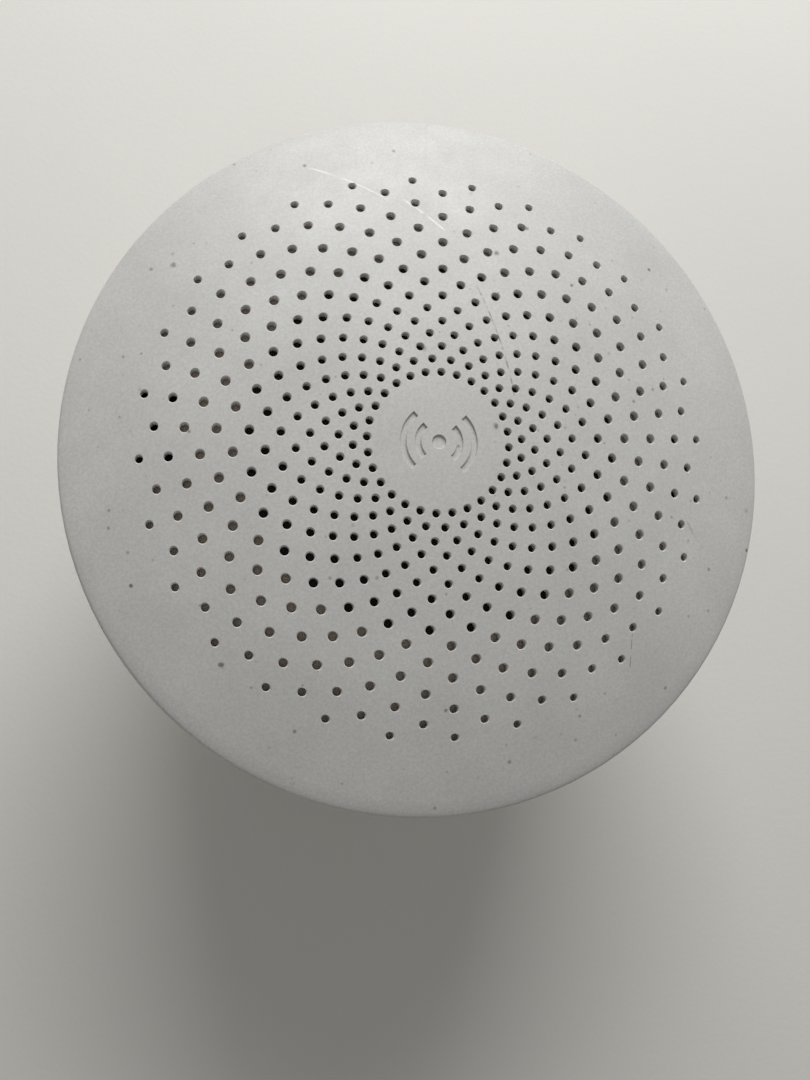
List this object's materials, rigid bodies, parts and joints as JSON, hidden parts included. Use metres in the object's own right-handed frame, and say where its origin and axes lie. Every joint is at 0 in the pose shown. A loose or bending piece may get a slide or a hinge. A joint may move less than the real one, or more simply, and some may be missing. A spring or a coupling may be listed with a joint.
{
  "type": "smart speaker",
  "caption": "Round domed smart speaker and home hub that plugs straight into a wall socket, with a perforated white front, a light ring, a side button and a light sensor.",
  "frame": {"origin": "centre of the face that meets the wall plate, between the plug blades", "axes": "+Z out of the wall through the middle of the grille, +Y up the wall when plugged in, +X towards the side button"},
  "size_m": [0.0804, 0.0804, 0.0582],
  "materials": {
    "shell_white": "fine grained matte, faint scratches and specks",
    "insert_white": "smooth satin white",
    "button_white": "fine grained matte",
    "ring_milk": "milky translucent, satin",
    "baffle_grey": "matte",
    "mesh_black": "woven cloth",
    "lens_smoke": "clear smoked",
    "blade_nickel": "nickel plated brass, lightly rubbed",
    "screw_steel": "zinc plated",
    "retainer_black": "flame retardant moulding",
    "foam_black": "closed cell foam",
    "pan_steel": "black coated pressed steel",
    "iron_zinc": "zinc plated iron",
    "ferrite": "sintered",
    "former_film": "amber film",
    "copper": "enamelled copper wire",
    "cone_paper": "pressed paper",
    "roll_rubber": "satin",
    "spider_cloth": "resin dipped cloth",
    "lead_black": "insulated lead",
    "lead_red": "insulated lead",
    "connector_ivory": "nylon",
    "board_green": "solder mask",
    "board_blue": "solder mask",
    "board_tan": "bare paper laminate",
    "led_white": "clear resin in a white package",
    "can_steel": "tinned",
    "chip_black": "moulded",
    "tin_bright": "drawn can",
    "sleeve_black": "shrunk sleeve",
    "dip_blue": "dipped coating",
    "dip_red": "dipped coating",
    "tape_yellow": "polyester tape",
    "sheet_amber": "polyimide sheet",
    "switch_body": "moulded"
  },
  "bodies": {
    "hub": {"audio_amplifier": "chip_black", "baffle_screws": "screw_steel", "blade_retainer": "retainer_black", "board_capacitors": "tin_bright", "board_link": "retainer_black", "board_screws": "screw_steel", "bridge_rectifier": "chip_black", "bulk_capacitors": "sleeve_black", "choke": "copper", "clock_crystal": "tin_bright", "controller_chip": "chip_black", "converter_chip": "chip_black", "earth_blade": "blade_nickel", "front_cover": "shell_white", "grille_mesh": "mesh_black", "insert_screws": "screw_steel", "insulating_sheet": "sheet_amber", "light_ring": "ring_milk", "light_sensor": "chip_black", "live_blade": "blade_nickel", "main_board": "board_green", "mains_fuse": "tin_bright", "memory_chip": "chip_black", "neutral_blade": "blade_nickel", "output_capacitor": "sleeve_black", "plug_insert": "insert_white", "power_board": "board_green", "power_board_screws": "screw_steel", "radio_cans": "can_steel", "rear_housing": "shell_white", "ring_leds": "led_white", "safety_capacitor": "dip_red", "sensor_lens": "lens_smoke", "speaker_baffle": "baffle_grey", "speaker_frame": "pan_steel", "speaker_gasket": "foam_black", "speaker_lead_black": "lead_black", "speaker_lead_red": "lead_red", "speaker_magnet": "ferrite", "speaker_plug": "connector_ivory", "speaker_socket": "connector_ivory", "speaker_spider": "spider_cloth", "speaker_surround": "roll_rubber", "speaker_terminals": "board_tan", "speaker_top_plate": "iron_zinc", "speaker_yoke": "iron_zinc", "switch_body": "switch_body", "switch_cover": "can_steel", "transformer_bobbin": "retainer_black", "transformer_core": "ferrite", "transformer_winding": "tape_yellow", "varistor": "dip_blue", "wifi_board": "board_blue", "zigbee_board": "board_blue"},
    "button": {"side_button": "button_white"},
    "plunger": {"switch_plunger": "switch_body"},
    "cone": {"speaker_cone": "cone_paper", "dust_cap": "cone_paper", "voice_coil_former": "former_film", "voice_coil_winding": "copper"}
  },
  "joints": [
    {"name": "button_press", "type": "slide", "parent": "hub", "child": "button", "axis": [-1, 0, 0], "range_m": [0, 0.0003], "stiffness_N_per_m": 5000},
    {"name": "plunger_press", "type": "slide", "parent": "hub", "child": "plunger", "axis": [-1, 0, 0], "range_m": [0, 0.0006]},
    {"name": "cone_excursion", "type": "slide", "parent": "hub", "child": "cone", "axis": [0, 0, 1], "range_m": [-0.0008, 0.0008], "stiffness_N_per_m": 1250, "deforming": ["speaker_surround", "speaker_spider"]}
  ],
  "couplings": [
    {"joint": "plunger_press", "follows": "button_press", "ratio": 1}
  ]
}
